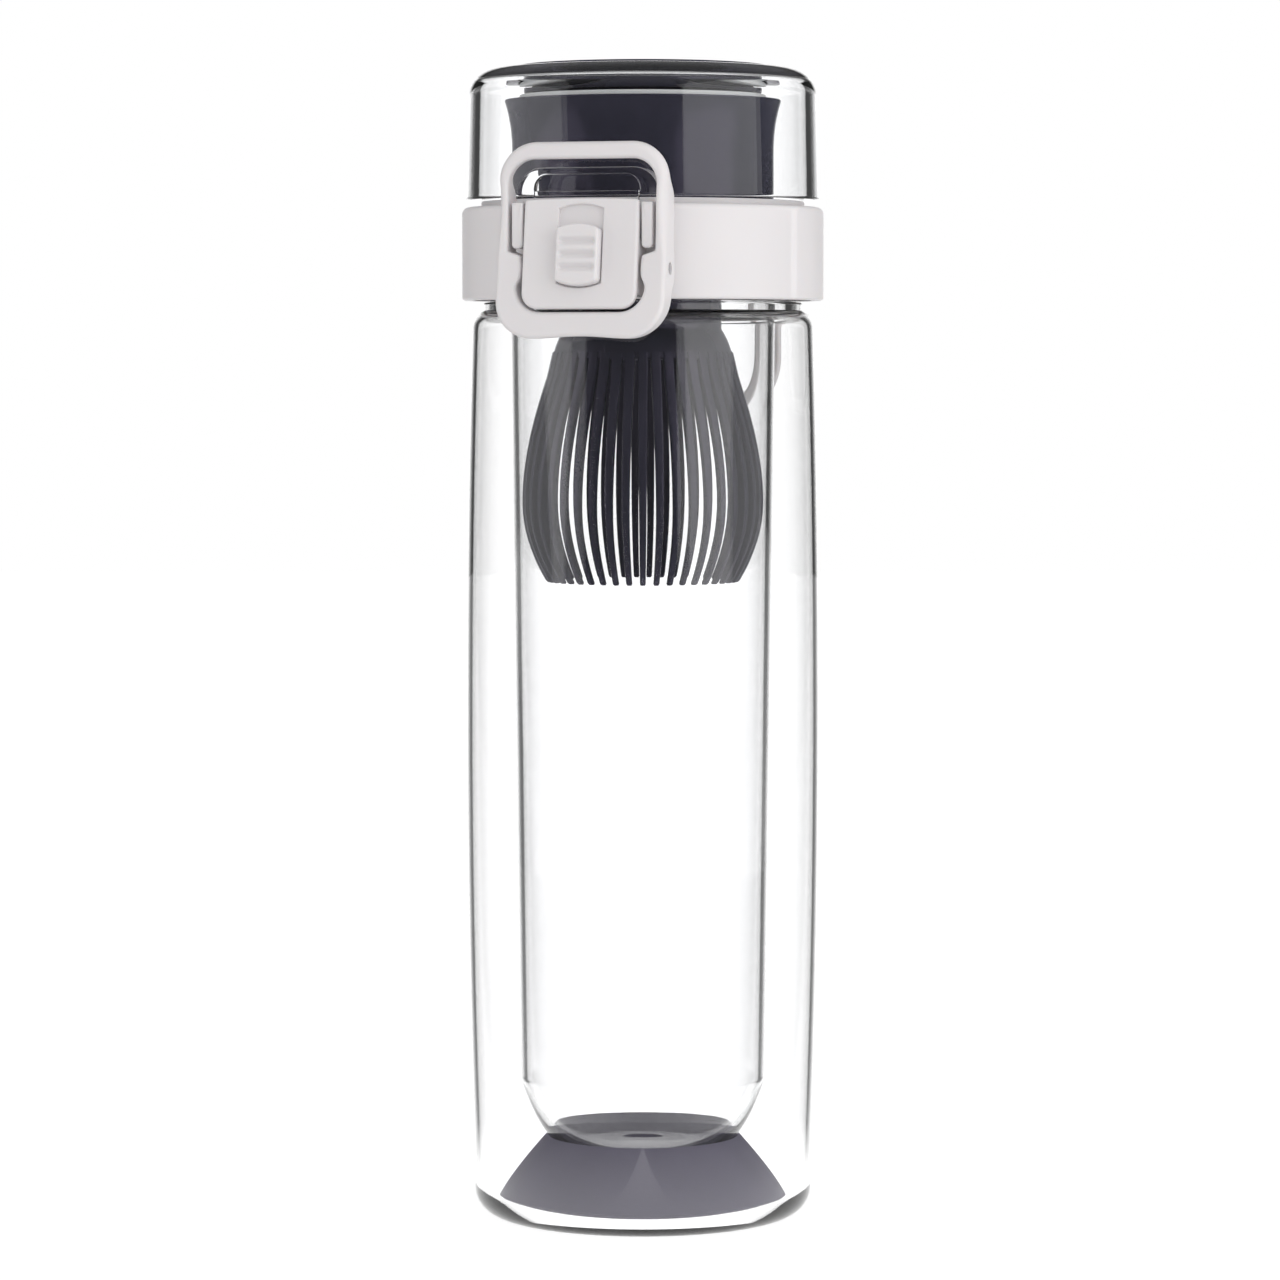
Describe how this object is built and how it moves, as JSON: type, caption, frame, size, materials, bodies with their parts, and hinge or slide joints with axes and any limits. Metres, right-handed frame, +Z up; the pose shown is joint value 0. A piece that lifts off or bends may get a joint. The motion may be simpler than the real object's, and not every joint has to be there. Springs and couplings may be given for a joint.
{
  "type": "tea infuser bottle",
  "caption": "Clear double-wall tea bottle with a screw-on lid, flip cap, drinking spout, hanging whisk, front latch with a safety loop and a rear carry loop.",
  "frame": {"origin": "centre of the foot, on the plane the bottle stands on", "axes": "+Z up along the bottle's axis, -Y towards the latch, +Y towards the hinge"},
  "size_m": [0.0732, 0.0886, 0.2336],
  "materials": {
    "clear_body": "clear polished copolyester",
    "clear_vessel": "clear polished glass",
    "clear_cap": "clear polished copolyester",
    "white_plastic": "warm white satin moulding",
    "grey_plastic": "cool grey satin moulding",
    "cushion_grey": "matt grey elastomer",
    "silicone": "pale translucent silicone",
    "steel": "drawn stainless wire"
  },
  "bodies": {
    "bottle": {"outer_shell": "clear_body", "inner_vessel": "clear_vessel", "base_cushion": "cushion_grey", "liner_seal": "silicone"},
    "lid_riser": {"neck_seal": "silicone"},
    "lid": {"collar": "white_plastic", "thread_ring": "white_plastic", "spout": "grey_plastic", "whisk": "grey_plastic", "whisk_oring": "silicone", "latch_pin": "steel", "hinge_pin": "steel", "hinge_spring": "steel", "lever_spring": "steel"},
    "cap": {"cap_shell": "clear_cap", "cap_disc": "grey_plastic", "stopper": "grey_plastic", "cap_seal": "silicone"},
    "latch": {"latch_lever": "white_plastic"},
    "lock_slide": {"lock_slider": "white_plastic", "slider_keeper": "grey_plastic"},
    "bail": {"safety_bail": "white_plastic"},
    "loop": {"carry_loop": "white_plastic"}
  },
  "joints": [
    {"name": "lid_rise", "type": "slide", "parent": "bottle", "child": "lid_riser", "axis": [0, 0, 1], "range_m": [0, 0.0049]},
    {"name": "lid_turn", "type": "hinge", "parent": "lid_riser", "child": "lid", "pos_m": [0, 0, 0.19], "axis": [0, 0, 1], "range_deg": [0, 390]},
    {"name": "cap_flip", "type": "hinge", "parent": "lid", "child": "cap", "pos_m": [0, 0.0402, 0.20295], "axis": [1, 0, 0], "range_deg": [-125, 0]},
    {"name": "latch_press", "type": "hinge", "parent": "lid", "child": "latch", "pos_m": [0, -0.0384, 0.1921], "axis": [1, 0, 0], "range_deg": [0, 6], "stiffness_Nm_per_rad": 0.06},
    {"name": "lock_travel", "type": "slide", "parent": "latch", "child": "lock_slide", "axis": [0, 0.1392, 0.9903], "range_m": [0, 0.0039]},
    {"name": "bail_rock", "type": "hinge", "parent": "lid", "child": "bail", "pos_m": [0, -0.0384, 0.1921], "axis": [1, 0, 0], "range_deg": [-4, 15]},
    {"name": "loop_swing", "type": "hinge", "parent": "lid", "child": "loop", "pos_m": [0, 0.0402, 0.20295], "axis": [1, 0, 0], "range_deg": [0, 165]}
  ],
  "couplings": [
    {"joint": "lid_rise", "follows": "lid_turn", "m_per_rad": 0.0007162}
  ]
}
